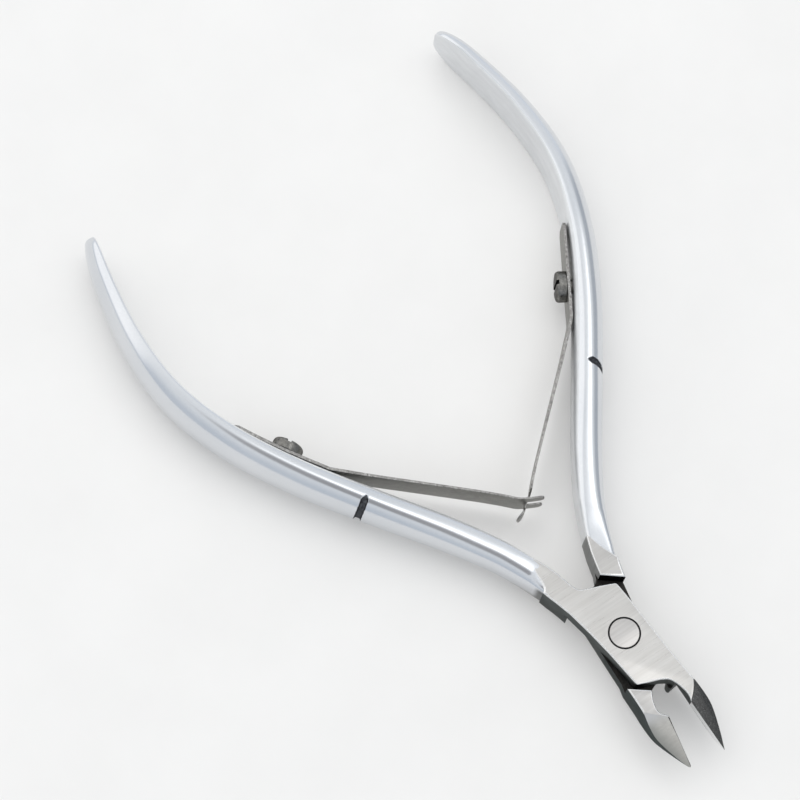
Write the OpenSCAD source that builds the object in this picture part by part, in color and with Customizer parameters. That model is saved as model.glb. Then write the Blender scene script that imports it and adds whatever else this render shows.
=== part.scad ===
// Cuticle nipper with a lap joint and two hooked leaf springs.
// Millimetres. The joint axis is Z, the jaws point along +X and the flat
// underside of the joint lies on z = 0. The handles are drawn open.

/* [Joint] */
// Thickness of the joint, both laps together
joint_t = 4.9; // [4.4:0.1:5.6]
// Angle that the two halves turn between open and closed
open_angle = 14.2; // [10:0.1:16]
// Radius of the flush rivet head
head_r = 2.05; // [1.9:0.05:2.2]
// Depth of the rivet head in its counterbore
head_h = 1.2; // [1:0.1:1.5]
// Radius of the rivet shank
shank_r = 1.5; // [1.2:0.05:1.6]
// Running clearance on the rivet, on the radius
run_gap = 0.05; // [0.02:0.01:0.1]
// Gap between the two lap faces
lap_gap = 0.06; // [0.04:0.01:0.12]

/* [Jaws] */
// Distance from the rivet to the tip of the jaws
jaw_len = 19.4; // [18.4:0.1:20.4]
// Where the cutting edge starts
edge_start = 12.2; // [11.8:0.1:12.6]
// Gap left between the closed cutting edges, on each side
edge_gap = 0.03; // [0.02:0.01:0.1]
// Slope of the jaw's end facets, in degrees
facet_slope = 23.6; // [22:0.1:25]
// Undercut of the face behind the cutting edge, in degrees
undercut = 19; // [14:0.5:22]

/* [Handles] */
// Roundness of the outer side, 2 is an ellipse
round_n = 2.6; // [2:0.1:3.5]
// Length over which the handle's end is rounded
end_round = 4.4; // [2:0.1:6]
// Rings along each handle
rings = 46; // [30:1:60]
// Depth of the file mark across each handle
mark_depth = 0.35; // [0.2:0.05:0.5]
// Width of the file mark
mark_w = 0.8; // [0.5:0.1:1.2]

/* [Springs] */
// Width of the leaf springs
leaf_w = 4.4; // [3.8:0.1:5]
// Thickness of the leaf springs at the clamp
leaf_t = 0.45; // [0.35:0.05:0.5]
// Thickness of the leaf springs at the hooked ends
leaf_tip_t = 0.36; // [0.3:0.02:0.45]
// Width of the fork's slot
slot_w = 1.5; // [1.4:0.05:1.8]
// Width of the tongue's neck
neck_w = 1.05; // [0.9:0.05:1.2]
// Width of the tongue's head
tongue_w = 2.7; // [2.2:0.1:3.2]
// Radius of the spring screws' heads
screw_head_r = 2.1; // [1.9:0.05:2.2]
// Height of the spring screws' heads
screw_head_h = 1.4; // [1.2:0.1:1.7]
// Radius of the spring screws' threads
screw_r = 1.0; // [0.8:0.05:1.1]

/* [Hidden] */
$fn = 96;
mid = joint_t/2;
fit_gap = 0.01;

// Inner line of the handle: x, y, depth towards the outside, half width,
// and how much of the inner side is flat.
line = [
    [ -9.2,  -1.02, 2.90, 2.36, 0.92],
    [-11.5,  -1.32, 3.15, 2.42, 0.90],
    [-14.2,  -1.90, 3.35, 2.52, 0.80],
    [-17.0,  -2.70, 3.55, 2.64, 0.68],
    [-20.0,  -3.75, 3.75, 2.78, 0.60],
    [-26.0,  -6.50, 4.00, 3.02, 0.50],
    [-35.0, -11.40, 4.05, 3.36, 0.46],
    [-44.0, -16.25, 3.90, 3.70, 0.60],
    [-53.0, -20.10, 3.55, 3.98, 0.78],
    [-62.0, -22.00, 3.20, 4.07, 0.90],
    [-71.0, -21.30, 2.80, 4.02, 0.92],
    [-80.0, -18.90, 2.30, 3.85, 0.92],
    [-85.6, -16.75, 1.90, 3.70, 0.92]
];
last = len(line) - 1;

// Smooth curve through the rows of the table
function row(i) = line[max(0, min(last, i))];
function cr(a, b, c, d, t) =
    0.5*(2*b + (c - a)*t + (2*a - 5*b + 4*c - d)*t*t + (3*b - a - 3*c + d)*t*t*t);
function at(t) = let(i = min(last - 1, floor(t)), u = t - i)
    cr(row(i - 1), row(i), row(i + 1), row(i + 2), u);
function unit(v) = v/norm(v);
function out_dir(t) = let(a = at(max(0, t - 0.02)), b = at(min(last, t + 0.02)),
    d = unit([b[0] - a[0], b[1] - a[1]])) [-d[1], d[0]];

// One cross-section: depth o from the inner line and height z
sec_n = 11;
function section(dep, hw, flat) = let(
    hf = hw*flat, om = dep*(0.10 + 0.45*(1 - flat)),
    outer = [for (k = [0:sec_n - 4]) let(a = 90*k/(sec_n - 4))
        [om + (dep - om)*pow(cos(a), 2/round_n), hw*pow(sin(a), 2/round_n)]],
    inner = [for (k = [1:3]) let(a = 90*k/3)
        [om*(1 - sin(a)), hf + (hw - hf)*cos(a)]],
    upper = concat(outer, inner))
    concat([for (k = [len(upper) - 1:-1:1]) [upper[k][0], -upper[k][1]]], upper);

// Rounded free end: both the width and the depth draw in over the last stretch
end_x = line[last][0];
function end_f(x) = let(d = max(0, min(1, (x - end_x)/end_round)))
    sqrt(1 - pow(1 - d, 2));

ts = [for (k = [0:rings]) let(f = k/rings) last*(1 - pow(1 - f, 1.45))];
function ring(t) = let(r = at(t), n = out_dir(t), e = end_f(r[0]),
    s = section(r[2]*(0.55 + 0.45*e), r[3]*(0.30 + 0.70*e), r[4]))
    [for (p = s) [r[0] + n[0]*(p[0] + r[2]*0.16*(1 - e)),
                  r[1] + n[1]*(p[0] + r[2]*0.16*(1 - e)), mid + p[1]]];

module handle_sweep() {
    rs = [for (t = ts) ring(t)];
    m = len(rs[0]);
    n = len(rs);
    pts = [for (r = rs) each r];
    polyhedron(points = pts, faces = concat(
        [[for (j = [0:m - 1]) j]],
        [for (i = [0:n - 2], j = [0:m - 1])
            let(a = i*m + j, b = i*m + (j + 1) % m) [a, a + m, b]],
        [for (i = [0:n - 2], j = [0:m - 1])
            let(a = i*m + j, b = i*m + (j + 1) % m) [b, a + m, b + m]],
        [[for (j = [m - 1:-1:0]) (n - 1)*m + j]]), convexity = 6);
}

// File mark across the outer side of the handle, following its roundness
mark_t = 6.1;
module file_mark() {
    r = at(mark_t);
    n = out_dir(mark_t);
    om = r[2]*(0.10 + 0.45*(1 - r[4]));
    floor_pts = [for (a = [-78:6:78])
        [om + (r[2] - mark_depth - om)*pow(cos(a), 2/round_n),
         (r[3] - mark_depth)*pow(abs(sin(a)), 2/round_n)*sign(a)]];
    translate([r[0], r[1], mid]) rotate([0, 0, atan2(n[1], n[0])])
        rotate([90, 0, 0]) linear_extrude(mark_w, center = true)
            polygon(concat(floor_pts, [[om + 1.4, 5], [7, 5], [7, -5], [om + 1.4, -5]]));
}

// Plan of the lap, seen from above: handle side at -x, jaw side at +x
lap_plan = [
    [-10.2, -4.30], [-9.4, -4.12], [-8.2, -3.86], [-6.4, -3.62], [-2.8, -3.42],
    [0.8, -3.32], [6.0, -3.35], [6.5, -2.5], [6.95, -1.6], [7.4, -0.7],
    [7.9, -0.05], [8.6, 0.3], [9.6, 0.5], [9.6, 2.78], [5.4, 2.97], [1.3, 3.3],
    [-2.9, 3.62], [-5.6, 3.75], [-6.7, 1.85], [-7.3, 0.65], [-8.0, -0.55],
    [-9.4, -1.05], [-10.2, -1.16]
];

// Plan of the handle's root, full thickness, with its shoulder at +x
root_plan = [
    [-12.7, -1.54], [-11.0, -1.24], [-9.2, -0.98], [-8.2, -0.86], [-6.5, -3.80],
    [-7.2, -3.84], [-8.6, -4.02], [-9.9, -4.32], [-10.8, -4.55], [-11.8, -3.9],
    [-12.6, -2.6]
];

// Plan of the jaw, full thickness, with its shoulder at -x
module jaw_plan(heel_gap, corner) {
    polygon([
        [6.6, corner], [7.3, 1.88], [8.1, 0.46], [8.8, 0.36],
        [edge_start - 0.9, 0.42], [edge_start, heel_gap],
        [jaw_len, edge_gap],
        [jaw_len - 0.95, 0.52], [17.3, 1.12], [16.05, 1.72], [15, 2.17],
        [14.3, 2.46], [13.6, 2.66], [12.6, 2.76], [10.2, 2.78], [8.2, (2.78 + corner)/2]
    ]);
}

// A flat end facet of the jaw, on the upper side
module end_facet() {
    translate([10.2, 2.78, joint_t]) rotate([0, 0, atan2(-2.78, edge_start - 10.2)])
        rotate([-facet_slope, 0, 0]) translate([-20, -4, 0]) cube([40, 34, 12]);
}

// The undercut behind the cutting edge
module edge_undercut(g) {
    translate([edge_start + 0.1, g, joint_t + 0.02])
        rotate([0, atan2(mid, jaw_len - edge_start), 0]) rotate([undercut, 0, 0])
            translate([-10, -12, -14]) cube([34, 12, 20]);
}

// One half without its bores. up = true has the upper lap.
module half_body(up, heel_gap, corner, notch) {
    lap_z = up ? mid + lap_gap/2 : 0;
    lap_h = mid - lap_gap/2;
    difference() {
        union() {
            translate([0, 0, lap_z]) linear_extrude(lap_h) polygon(lap_plan);
            linear_extrude(joint_t) polygon(root_plan);
            difference() {
                linear_extrude(joint_t) jaw_plan(heel_gap, corner);
                end_facet();
                translate([0, 0, joint_t]) mirror([0, 0, 1]) end_facet();
                intersection() {
                    edge_undercut(max(heel_gap, edge_gap));
                    translate([8.75, -10, -5]) cube([20, 20, 20]);
                }
            }
            difference() {
                handle_sweep();
                file_mark();
            }
        }
        // round clearance behind the cutting edges
        intersection() {
            translate([notch[0], notch[1], -1]) cylinder(r = notch[2], h = joint_t + 2);
            translate([7.75, -4, -1]) cube([8, 8, joint_t + 2]);
        }
    }
}

module half_a() {
    color([0.80, 0.82, 0.84]) rotate([0, 0, open_angle/2]) difference() {
        half_body(true, 0.22, 2.93, [10.5, -4.25, 4.86]);
        translate([0, 0, -1]) cylinder(r = shank_r + run_gap, h = joint_t + 2);
        translate([0, 0, joint_t - head_h - 0.04]) cylinder(r = head_r + run_gap, h = head_h + 1);
        screw_hole(screw_a_s, sag_a);
    }
}

module half_b() {
    color([0.80, 0.82, 0.84]) rotate([0, 0, -open_angle/2]) mirror([0, 1, 0]) difference() {
        half_body(false, edge_gap, 3.12, [9.9, -1.98, 2.96]);
        translate([0, 0, -1]) cylinder(r = shank_r + fit_gap, h = joint_t + 2);
        screw_hole(screw_b_s, sag_b);
    }
}

// Rivet: fixed in the lower lap, the upper lap turns on it
module pivot_rivet() {
    color([0.74, 0.74, 0.73]) rotate_extrude()
        polygon([[0, 0], [shank_r, 0], [shank_r, joint_t - head_h],
                 [head_r, joint_t - head_h], [head_r, joint_t], [0, joint_t]]);
}

// Leaf spring, in the half's own closed position. c0 and c1 are the ends of
// the clamped strip's side away from the handle; sag is how far its screw
// pulls the middle of the strip into the hollow of the handle.
c0 = [-53.7, -19.72];
c1 = [-41.5, -14.28];
c_ang = atan2(c1[1] - c0[1], c1[0] - c0[0]);
c_len = norm(c1 - c0);
screw_a_s = 7.4;
screw_b_s = 8.6;
sag_a = 0.2;
sag_b = 0;

module on_strip() { translate([c0[0], c0[1], mid]) rotate([0, 0, c_ang]) children(); }
function dip(s, sag) = -sag*sin(180*s/c_len);

module clamped_end(screw_s, sag) {
    top = [for (k = [0:10]) [k*c_len/10, dip(k*c_len/10, sag)]];
    on_strip() difference() {
        translate([0, 0, -leaf_w/2]) linear_extrude(leaf_w)
            polygon(concat(top, [for (k = [10:-1:0]) top[k] - [0, leaf_t]]));
        translate([screw_s, 1, 0]) rotate([90, 0, 0]) cylinder(r = screw_r + 0.15, h = 3);
        // clipped corners at the free end of the strip
        for (s = [-1, 1]) translate([0, 0, s*leaf_w/2]) rotate([0, 45, 0])
            cube([0.9, 4, 0.9], center = true);
    }
}

// Screw hole in the handle, square to the strip
module screw_hole(screw_s, sag) {
    on_strip() translate([screw_s, 0.5, 0]) rotate([90, 0, 0])
        cylinder(r = screw_r + fit_gap, h = 3.2 + sag);
}

module screw(screw_s, sag) {
    on_strip() translate([screw_s, 0.01 - 0.75*sag, 0]) rotate([-90, 0, 0]) difference() {
        rotate_extrude() polygon([[0, -2.55], [screw_r, -2.55], [screw_r, 0],
            [screw_head_r, 0], [screw_head_r, screw_head_h - 0.45],
            [screw_head_r - 0.13, screw_head_h - 0.13],
            [screw_head_r - 0.45, screw_head_h], [0, screw_head_h]]);
        translate([-0.3, -3, screw_head_h - 0.5]) cube([0.6, 6, 2]);
    }
}

// Middle line of the free leaf up to where the two springs cross, then the end
leaf_line = [[-41.2, -14.40], [-38.9, -12.5], [-36.65, -10.6], [-33.4, -7.75],
             [-30.15, -4.9], [-26.2, -1.45], [-24.2, 0.22], [-23.1, 1.08],
             [-22.4, 1.62], [-21.9, 2.12], [-21.35, 2.86]];
fork_end = [[-20.82, 3.66], [-20.3, 4.52], [-20.1, 4.84]];
tongue_end = [[-20.75, 3.52], [-20.2, 4.2], [-19.65, 4.8]];
cross_pt = leaf_line[len(leaf_line) - 1];

function tang(p, i) = unit(p[min(len(p) - 1, i + 1)] - p[max(0, i - 1)]);
function strip(p) = let(n = len(p) - 1,
    th = [for (i = [0:n]) leaf_t + (leaf_tip_t - leaf_t)*i/n],
    nn = [for (i = [0:n]) let(t = tang(p, i)) [-t[1], t[0]]])
    concat([for (i = [0:n]) p[i] + nn[i]*th[i]/2], [for (i = [n:-1:0]) p[i] - nn[i]*th[i]/2]);

// Outline in the leaf's own plane: s along the leaf from the crossing, w across
leaf_ang = 42;
end_ang = 56;
module flat_outline(a, pts) {
    translate([cross_pt[0], cross_pt[1], mid]) rotate([0, 0, a]) rotate([90, 0, 0])
        translate([0, 0, -8]) linear_extrude(16) polygon(pts);
}

module fork_leaf() {
    difference() {
        translate([0, 0, mid - leaf_w/2]) linear_extrude(leaf_w)
            polygon(strip(concat(leaf_line, fork_end)));
        // open slot between the two prongs
        flat_outline(end_ang, [[-1.3, -slot_w/2 + 0.2], [-1.1, -slot_w/2], [6, -slot_w/2],
                               [6, slot_w/2], [-1.1, slot_w/2], [-1.3, slot_w/2 - 0.2]]);
        // rounded prong tips
        for (s = [-1, 1]) flat_outline(end_ang, [[1.35, s*2.5], [1.5, s*2.12], [1.82, s*1.86],
            [2.03, s*1.5], [2.0, s*1.1], [1.85, s*0.82], [1.7, s*0.7], [4, s*0.7], [4, s*2.5]]);
    }
}

module tongue_leaf() {
    h = leaf_w/2;
    n = neck_w/2;
    w = tongue_w/2;
    intersection() {
        translate([0, 0, mid - h]) linear_extrude(2*h)
            polygon(strip(concat(leaf_line, tongue_end)));
        union() {
            flat_outline(leaf_ang, [[-40, -h], [-20, -h], [-4, -1.75], [-1.9, -1.6], [-1.2, -n],
                                    [-0.6, -n], [-0.6, n], [-1.2, n], [-1.9, 1.6], [-4, 1.75],
                                    [-20, h], [-40, h]]);
            flat_outline(end_ang, [[-0.9, -n], [0.8, -n], [1.0, -w], [1.9, -w], [2.3, -0.75*w],
                                   [2.55, -0.3*w], [2.6, 0], [2.55, 0.3*w], [2.3, 0.75*w],
                                   [1.9, w], [1.0, w], [0.8, n], [-0.9, n]]);
        }
    }
}

module on_a() { rotate([0, 0, open_angle/2]) children(); }
module on_b() { rotate([0, 0, -open_angle/2]) mirror([0, 1, 0]) children(); }

module fork_spring_clamped_end() { color([0.42, 0.42, 0.40]) on_a() clamped_end(screw_a_s, sag_a); }
module fork_spring_leaf() { color([0.42, 0.42, 0.40]) on_a() fork_leaf(); }
module tongue_spring_clamped_end() { color([0.42, 0.42, 0.40]) on_b() clamped_end(screw_b_s, sag_b); }
module tongue_spring_leaf() { color([0.42, 0.42, 0.40]) on_b() tongue_leaf(); }
module spring_screw_a() { color([0.45, 0.45, 0.44]) on_a() screw(screw_a_s, sag_a); }
module spring_screw_b() { color([0.45, 0.45, 0.44]) on_b() screw(screw_b_s, sag_b); }

half_a();
half_b();
pivot_rivet();
fork_spring_clamped_end();
fork_spring_leaf();
tongue_spring_clamped_end();
tongue_spring_leaf();
spring_screw_a();
spring_screw_b();
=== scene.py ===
import bpy, bmesh, math
import numpy as np
from mathutils import Matrix, Vector


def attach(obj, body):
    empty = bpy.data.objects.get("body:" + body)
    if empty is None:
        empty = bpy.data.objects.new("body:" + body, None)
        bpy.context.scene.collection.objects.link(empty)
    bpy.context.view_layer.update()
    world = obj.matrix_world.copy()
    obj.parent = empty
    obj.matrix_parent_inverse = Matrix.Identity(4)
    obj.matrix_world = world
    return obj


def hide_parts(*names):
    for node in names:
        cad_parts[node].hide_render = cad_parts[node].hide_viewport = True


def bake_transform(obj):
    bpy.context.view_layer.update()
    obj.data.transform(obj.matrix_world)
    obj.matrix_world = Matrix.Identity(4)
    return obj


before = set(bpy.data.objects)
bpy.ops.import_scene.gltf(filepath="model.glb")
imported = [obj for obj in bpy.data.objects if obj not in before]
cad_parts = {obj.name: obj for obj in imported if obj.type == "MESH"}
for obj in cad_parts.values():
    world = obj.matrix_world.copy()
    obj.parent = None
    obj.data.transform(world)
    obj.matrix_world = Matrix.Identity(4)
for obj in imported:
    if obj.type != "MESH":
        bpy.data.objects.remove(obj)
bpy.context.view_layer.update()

MM = 0.001
T = 4.9                 # joint thickness
MID = T / 2
OPEN = 14.2             # opening angle, degrees
ROUND = 2.6             # roundness of the handles' outer side

# ---------------------------------------------------------------- materials

def principled(name):
    m = bpy.data.materials.new(name)
    m.use_nodes = True
    nt = m.node_tree
    b = nt.nodes["Principled BSDF"]
    b.inputs["Metallic"].default_value = 1.0
    return m, nt, b


def coords(nt, rot_z=0.0, scale=(1, 1, 1), rot=(0, 0, 0)):
    tc = nt.nodes.new("ShaderNodeTexCoord")
    mp = nt.nodes.new("ShaderNodeMapping")
    mp.vector_type = "POINT"
    mp.inputs["Rotation"].default_value = (rot[0], rot[1], rot[2] + math.radians(rot_z))
    mp.inputs["Scale"].default_value = scale
    nt.links.new(tc.outputs["Object"], mp.inputs["Vector"])
    return mp.outputs["Vector"]


def noise(nt, vec, scale, detail=3.0, rough=0.55, dist=0.0):
    n = nt.nodes.new("ShaderNodeTexNoise")
    n.inputs["Scale"].default_value = scale
    n.inputs["Detail"].default_value = detail
    n.inputs["Roughness"].default_value = rough
    n.inputs["Distortion"].default_value = dist
    nt.links.new(vec, n.inputs["Vector"])
    return n.outputs["Fac"]


def ramp(nt, fac, stops):
    r = nt.nodes.new("ShaderNodeValToRGB")
    els = r.color_ramp.elements
    while len(els) < len(stops):
        els.new(0.5)
    for e, (p, c) in zip(els, stops):
        e.position = p
        e.color = (c, c, c, 1) if not hasattr(c, "__len__") else tuple(c) + (1,)
    nt.links.new(fac, r.inputs["Fac"])
    return r.outputs["Color"]


def mathn(nt, op, a, b=None, clamp=False):
    n = nt.nodes.new("ShaderNodeMath")
    n.operation = op
    n.use_clamp = clamp
    for i, v in enumerate((a, b)):
        if v is None:
            continue
        if isinstance(v, (int, float)):
            n.inputs[i].default_value = v
        else:
            nt.links.new(v, n.inputs[i])
    return n.outputs[0]


def mix(nt, fac, a, b, mode="MIX"):
    n = nt.nodes.new("ShaderNodeMix")
    n.data_type = "RGBA"
    n.blend_type = mode
    if isinstance(fac, (int, float)):
        n.inputs[0].default_value = fac
    else:
        nt.links.new(fac, n.inputs[0])
    for sock, v in ((n.inputs[6], a), (n.inputs[7], b)):
        if hasattr(v, "__len__"):
            sock.default_value = tuple(v) + (1,) if len(v) == 3 else v
        else:
            nt.links.new(v, sock)
    return n.outputs[2]


def bump(nt, b, height, strength, dist=0.00002):
    n = nt.nodes.new("ShaderNodeBump")
    n.inputs["Strength"].default_value = strength
    n.inputs["Distance"].default_value = dist
    nt.links.new(height, n.inputs["Height"])
    nt.links.new(n.outputs["Normal"], b.inputs["Normal"])
    return n


def local_xyz(nt, turn, flip=False):
    """The half's own closed-position coordinates, in mm, for painted shade that sits at one place on it."""
    tc = nt.nodes.new("ShaderNodeTexCoord")
    mp = nt.nodes.new("ShaderNodeMapping")
    mp.vector_type = "POINT"
    mp.inputs["Rotation"].default_value = (0, 0, math.radians(turn))
    mp.inputs["Scale"].default_value = (1000, 1000, 1000)
    nt.links.new(tc.outputs["Object"], mp.inputs["Vector"])
    sp = nt.nodes.new("ShaderNodeSeparateXYZ")
    nt.links.new(mp.outputs["Vector"], sp.inputs[0])
    x, y, z = sp.outputs
    return x, (mathn(nt, "MULTIPLY", y, -1.0) if flip else y), z


def step(nt, val, lo, hi, a=0.0, b=1.0):
    n = nt.nodes.new("ShaderNodeMapRange")
    n.interpolation_type = "SMOOTHSTEP"
    for k, v in (("From Min", lo), ("From Max", hi), ("To Min", a), ("To Max", b)):
        n.inputs[k].default_value = v
    nt.links.new(val, n.inputs["Value"])
    return n.outputs["Result"]


def mat_satin(name, turn, half):
    """Fine satin stainless: near smooth, faint ripples across, with painted shade: darker low down at the root and
    dark on the root's wall by the block.
    """
    m, nt, b = principled(name)
    v = coords(nt)
    cloud = noise(nt, v, 90, 3, 0.5)
    grain = noise(nt, v, 5200, 2, 0.6)
    base = mix(nt, ramp(nt, cloud, [(0.3, 0.0), (0.7, 1.0)]), (0.69, 0.71, 0.74), (0.735, 0.75, 0.772))
    base = mix(nt, ramp(nt, grain, [(0.35, 0.0), (0.65, 0.35)]), base, (0.62, 0.64, 0.67))
    x, y, z = local_xyz(nt, -half * OPEN / 2, half < 0)
    # painted shade: low and wall darken the base where the root's lower side and its wall show a dark reflection
    low = mathn(nt, "MULTIPLY", step(nt, x, -19.0, -11.5), step(nt, z, 2.3, 0.6))
    wall = mathn(nt, "MULTIPLY", step(nt, x, -12.1, -11.2), step(nt, y, -3.75, -4.1))
    wall = mathn(nt, "MULTIPLY", wall, step(nt, z, 4.6, 3.9))
    base = mix(nt, mathn(nt, "MULTIPLY", low, 0.8), base, (0.30, 0.29, 0.275))
    base = mix(nt, wall, base, (0.115, 0.12, 0.117))
    nt.links.new(base, b.inputs["Base Color"])
    r = mathn(nt, "ADD", mathn(nt, "MULTIPLY", cloud, 0.06), 0.125)
    r = mathn(nt, "ADD", mathn(nt, "MULTIPLY", grain, 0.05), r)
    nt.links.new(r, b.inputs["Roughness"])
    # transverse polishing ripples, fading in and out along the handle
    vr = coords(nt, turn, (1.0, 0.12, 0.12))
    rip = noise(nt, vr, 1500, 1.0, 0.4)
    area = ramp(nt, noise(nt, v, 45, 1, 0.4), [(0.50, 0.0), (0.62, 1.0)])
    h = mathn(nt, "ADD", mathn(nt, "MULTIPLY", mathn(nt, "MULTIPLY", rip, area), 0.55),
              mathn(nt, "MULTIPLY", grain, 0.35))
    bump(nt, b, h, 0.22, 0.00001)
    return m


def mat_brushed(name, turn, base=(0.605, 0.592, 0.570), dark=(0.545, 0.532, 0.512), rough=0.30, cross=True):
    """Flat ground face: fine lines that run across the joint."""
    m, nt, b = principled(name)
    sc = (1.0, 0.035, 0.3) if cross else (0.035, 1.0, 1.0)
    vl = coords(nt, turn, sc)
    lines = noise(nt, vl, 6500, 3, 0.65)
    broad = noise(nt, vl, 1400, 2, 0.5)
    v = coords(nt)
    cloud = noise(nt, v, 260, 2, 0.5)
    c = mix(nt, ramp(nt, lines, [(0.32, 0.0), (0.68, 1.0)]), dark, base)
    c = mix(nt, ramp(nt, broad, [(0.40, 0.0), (0.66, 0.22)]), c, tuple(0.5 * (x + 1) for x in base))
    c = mix(nt, ramp(nt, cloud, [(0.40, 0.0), (0.75, 0.25)]), c, dark)
    nt.links.new(c, b.inputs["Base Color"])
    r = mathn(nt, "ADD", mathn(nt, "MULTIPLY", lines, 0.16), rough - 0.08)
    nt.links.new(r, b.inputs["Roughness"])
    bump(nt, b, lines, 0.30, 0.000008)
    return m


def mat_ground(name, base, dark, rough, turn=0.0, scale=(1.0, 0.05, 1.0), freq=5200, strength=0.35, speck=0.0):
    m, nt, b = principled(name)
    vl = coords(nt, turn, scale)
    lines = noise(nt, vl, freq, 3, 0.65)
    v = coords(nt)
    cloud = noise(nt, v, 420, 3, 0.6)
    c = mix(nt, ramp(nt, lines, [(0.30, 0.0), (0.70, 1.0)]), dark, base)
    c = mix(nt, ramp(nt, cloud, [(0.38, 0.0), (0.70, 0.45)]), c, dark)
    if speck:
        sp = noise(nt, v, 7000, 2, 0.7)
        c = mix(nt, ramp(nt, sp, [(0.58, 0.0), (0.68, speck)]), c, tuple(min(1, x * 2.2 + 0.05) for x in base))
    nt.links.new(c, b.inputs["Base Color"])
    r = mathn(nt, "ADD", mathn(nt, "MULTIPLY", lines, 0.18), rough - 0.09)
    nt.links.new(r, b.inputs["Roughness"])
    bump(nt, b, lines, strength, 0.00001)
    return m


M = {}
M["satin_a"] = mat_satin("satin_a", -30, 1)
M["satin_b"] = mat_satin("satin_b", 30, -1)
M["brushed_a"] = mat_brushed("brushed_a", -7)
M["brushed_b"] = mat_brushed("brushed_b", 7, (0.535, 0.524, 0.508), (0.475, 0.465, 0.45))
M["side"] = mat_ground("side", (0.40, 0.405, 0.40), (0.25, 0.255, 0.25), 0.34, 0, (1.0, 1.0, 0.05), 2600, 0.3)
# painted shade: wall and wall_b get a dark base for the dark reflection of the joint's side walls; wall_b is darker
# still
M["wall"] = mat_ground("wall", (0.20, 0.215, 0.212), (0.13, 0.14, 0.138), 0.34, 0, (0.08, 0.08, 1.0))
M["wall_b"] = mat_ground("wall_b", (0.165, 0.185, 0.183), (0.105, 0.118, 0.118), 0.34, 0, (0.08, 0.08, 1.0))
# painted shade: lap and gap get a near-black base for mid-plane lap faces and shoulder walls lying in deep shadow
M["lap"] = mat_ground("lap", (0.055, 0.052, 0.048), (0.02, 0.019, 0.018), 0.5, 0, (1, 1, 1), 2600, 0.5)
M["gap"] = mat_ground("gap", (0.03, 0.03, 0.03), (0.012, 0.012, 0.012), 0.55, 0, (1, 1, 1), 2600, 0.5)
M["inner"] = mat_ground("inner", (0.80, 0.81, 0.82), (0.70, 0.71, 0.72), 0.36, 35, (0.2, 1.0, 1.0), 900, 0.1)
M["inner"].node_tree.nodes["Principled BSDF"].inputs["Metallic"].default_value = 0.55
M["facet_dark"] = mat_ground("facet_dark", (0.112, 0.112, 0.110), (0.058, 0.058, 0.057), 0.42, 0, (1, 1, 1), 3800, 0.35, 0.5)
M["facet_warm"] = mat_ground("facet_warm", (0.65, 0.63, 0.59), (0.53, 0.51, 0.475), 0.33, 20, (1.0, 0.2, 1.0), 3000, 0.25)
nt = M["facet_warm"].node_tree
fb = nt.nodes["Principled BSDF"]
old = fb.inputs["Base Color"].links[0].from_socket
# painted shade: the facet's base darkens across its outer part and is lighter where the facet begins
x, y, z = local_xyz(nt, OPEN / 2, True)
across = mathn(nt, "ADD", mathn(nt, "MULTIPLY", x, 0.36), mathn(nt, "MULTIPLY", y, 1.0))
shade = mix(nt, step(nt, across, 5.2, 8.1), old, (0.32, 0.325, 0.305))
shade = mix(nt, step(nt, x, 12.6, 10.9), shade, (0.60, 0.596, 0.59))
nt.links.new(shade, fb.inputs["Base Color"])
# painted highlight: land and edge get a base brighter than the steel, for the bright cutting land and the rim lines
M["land"] = mat_ground("land", (0.95, 0.95, 0.95), (0.85, 0.85, 0.85), 0.20, 0, (1.0, 1.0, 0.1), 3000, 0.1)
M["edge"] = mat_ground("edge", (0.86, 0.86, 0.85), (0.74, 0.74, 0.73), 0.26, 0, (1, 1, 1), 3000, 0.1)
M["hone"] = mat_ground("hone", (0.05, 0.046, 0.043), (0.025, 0.023, 0.022), 0.45, 0, (1, 1, 1), 3000, 0.1)
# painted shade: bore gets a dark base, used in bores, the counterbore, slots and on the rivet's sides
M["bore"] = mat_ground("bore", (0.10, 0.10, 0.10), (0.05, 0.05, 0.05), 0.5, 0, (1, 1, 1), 3000, 0.1)
M["groove"] = mat_ground("groove", (0.16, 0.165, 0.175), (0.03, 0.03, 0.035), 0.62, 0, (1, 1, 1), 3600, 1.0, 0.5)
M["rivet"] = mat_brushed("rivet_face", -12, (0.55, 0.534, 0.518), (0.50, 0.486, 0.47), 0.30)
M["spring_face"] = mat_ground("spring_face", (0.31, 0.305, 0.285), (0.19, 0.187, 0.174), 0.40, 48, (1.0, 0.3, 1.0), 1200, 0.25, 0.15)
M["spring_edge"] = mat_ground("spring_edge", (0.50, 0.49, 0.47), (0.16, 0.155, 0.15), 0.36, 0, (1, 1, 1), 2600, 0.8, 0.6)
M["screw"] = mat_ground("screw", (0.27, 0.265, 0.25), (0.13, 0.127, 0.12), 0.30, 0, (1, 1, 1), 2200, 0.4, 0.3)
for k, v in (("wall", 0.40), ("wall_b", 0.34), ("lap", 0.2), ("gap", 0.1), ("facet_dark", 0.5), ("screw", 0.4), ("hone", 0.2),
             ("bore", 0.2), ("groove", 0.3), ("side", 0.6)):
    M[k].node_tree.nodes["Principled BSDF"].inputs["Specular Tint"].default_value = (v, v, v, 1)
ORDER = list(M)
IDX = {k: i for i, k in enumerate(ORDER)}


def use_all(me):
    for k in ORDER:
        me.materials.append(M[k])


# ---------------------------------------------------------------- mesh tools

def new_object(name, verts, faces, mats=None, smooth=None):
    me = bpy.data.meshes.new(name)
    me.from_pydata([tuple(v) for v in verts], [], [tuple(f) for f in faces])
    use_all(me)
    if mats is not None:
        me.polygons.foreach_set("material_index", mats)
    if smooth is not None:
        me.polygons.foreach_set("use_smooth", smooth)
    me.validate()
    me.update()
    ob = bpy.data.objects.new(name, me)
    bpy.context.scene.collection.objects.link(ob)
    return ob


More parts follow.
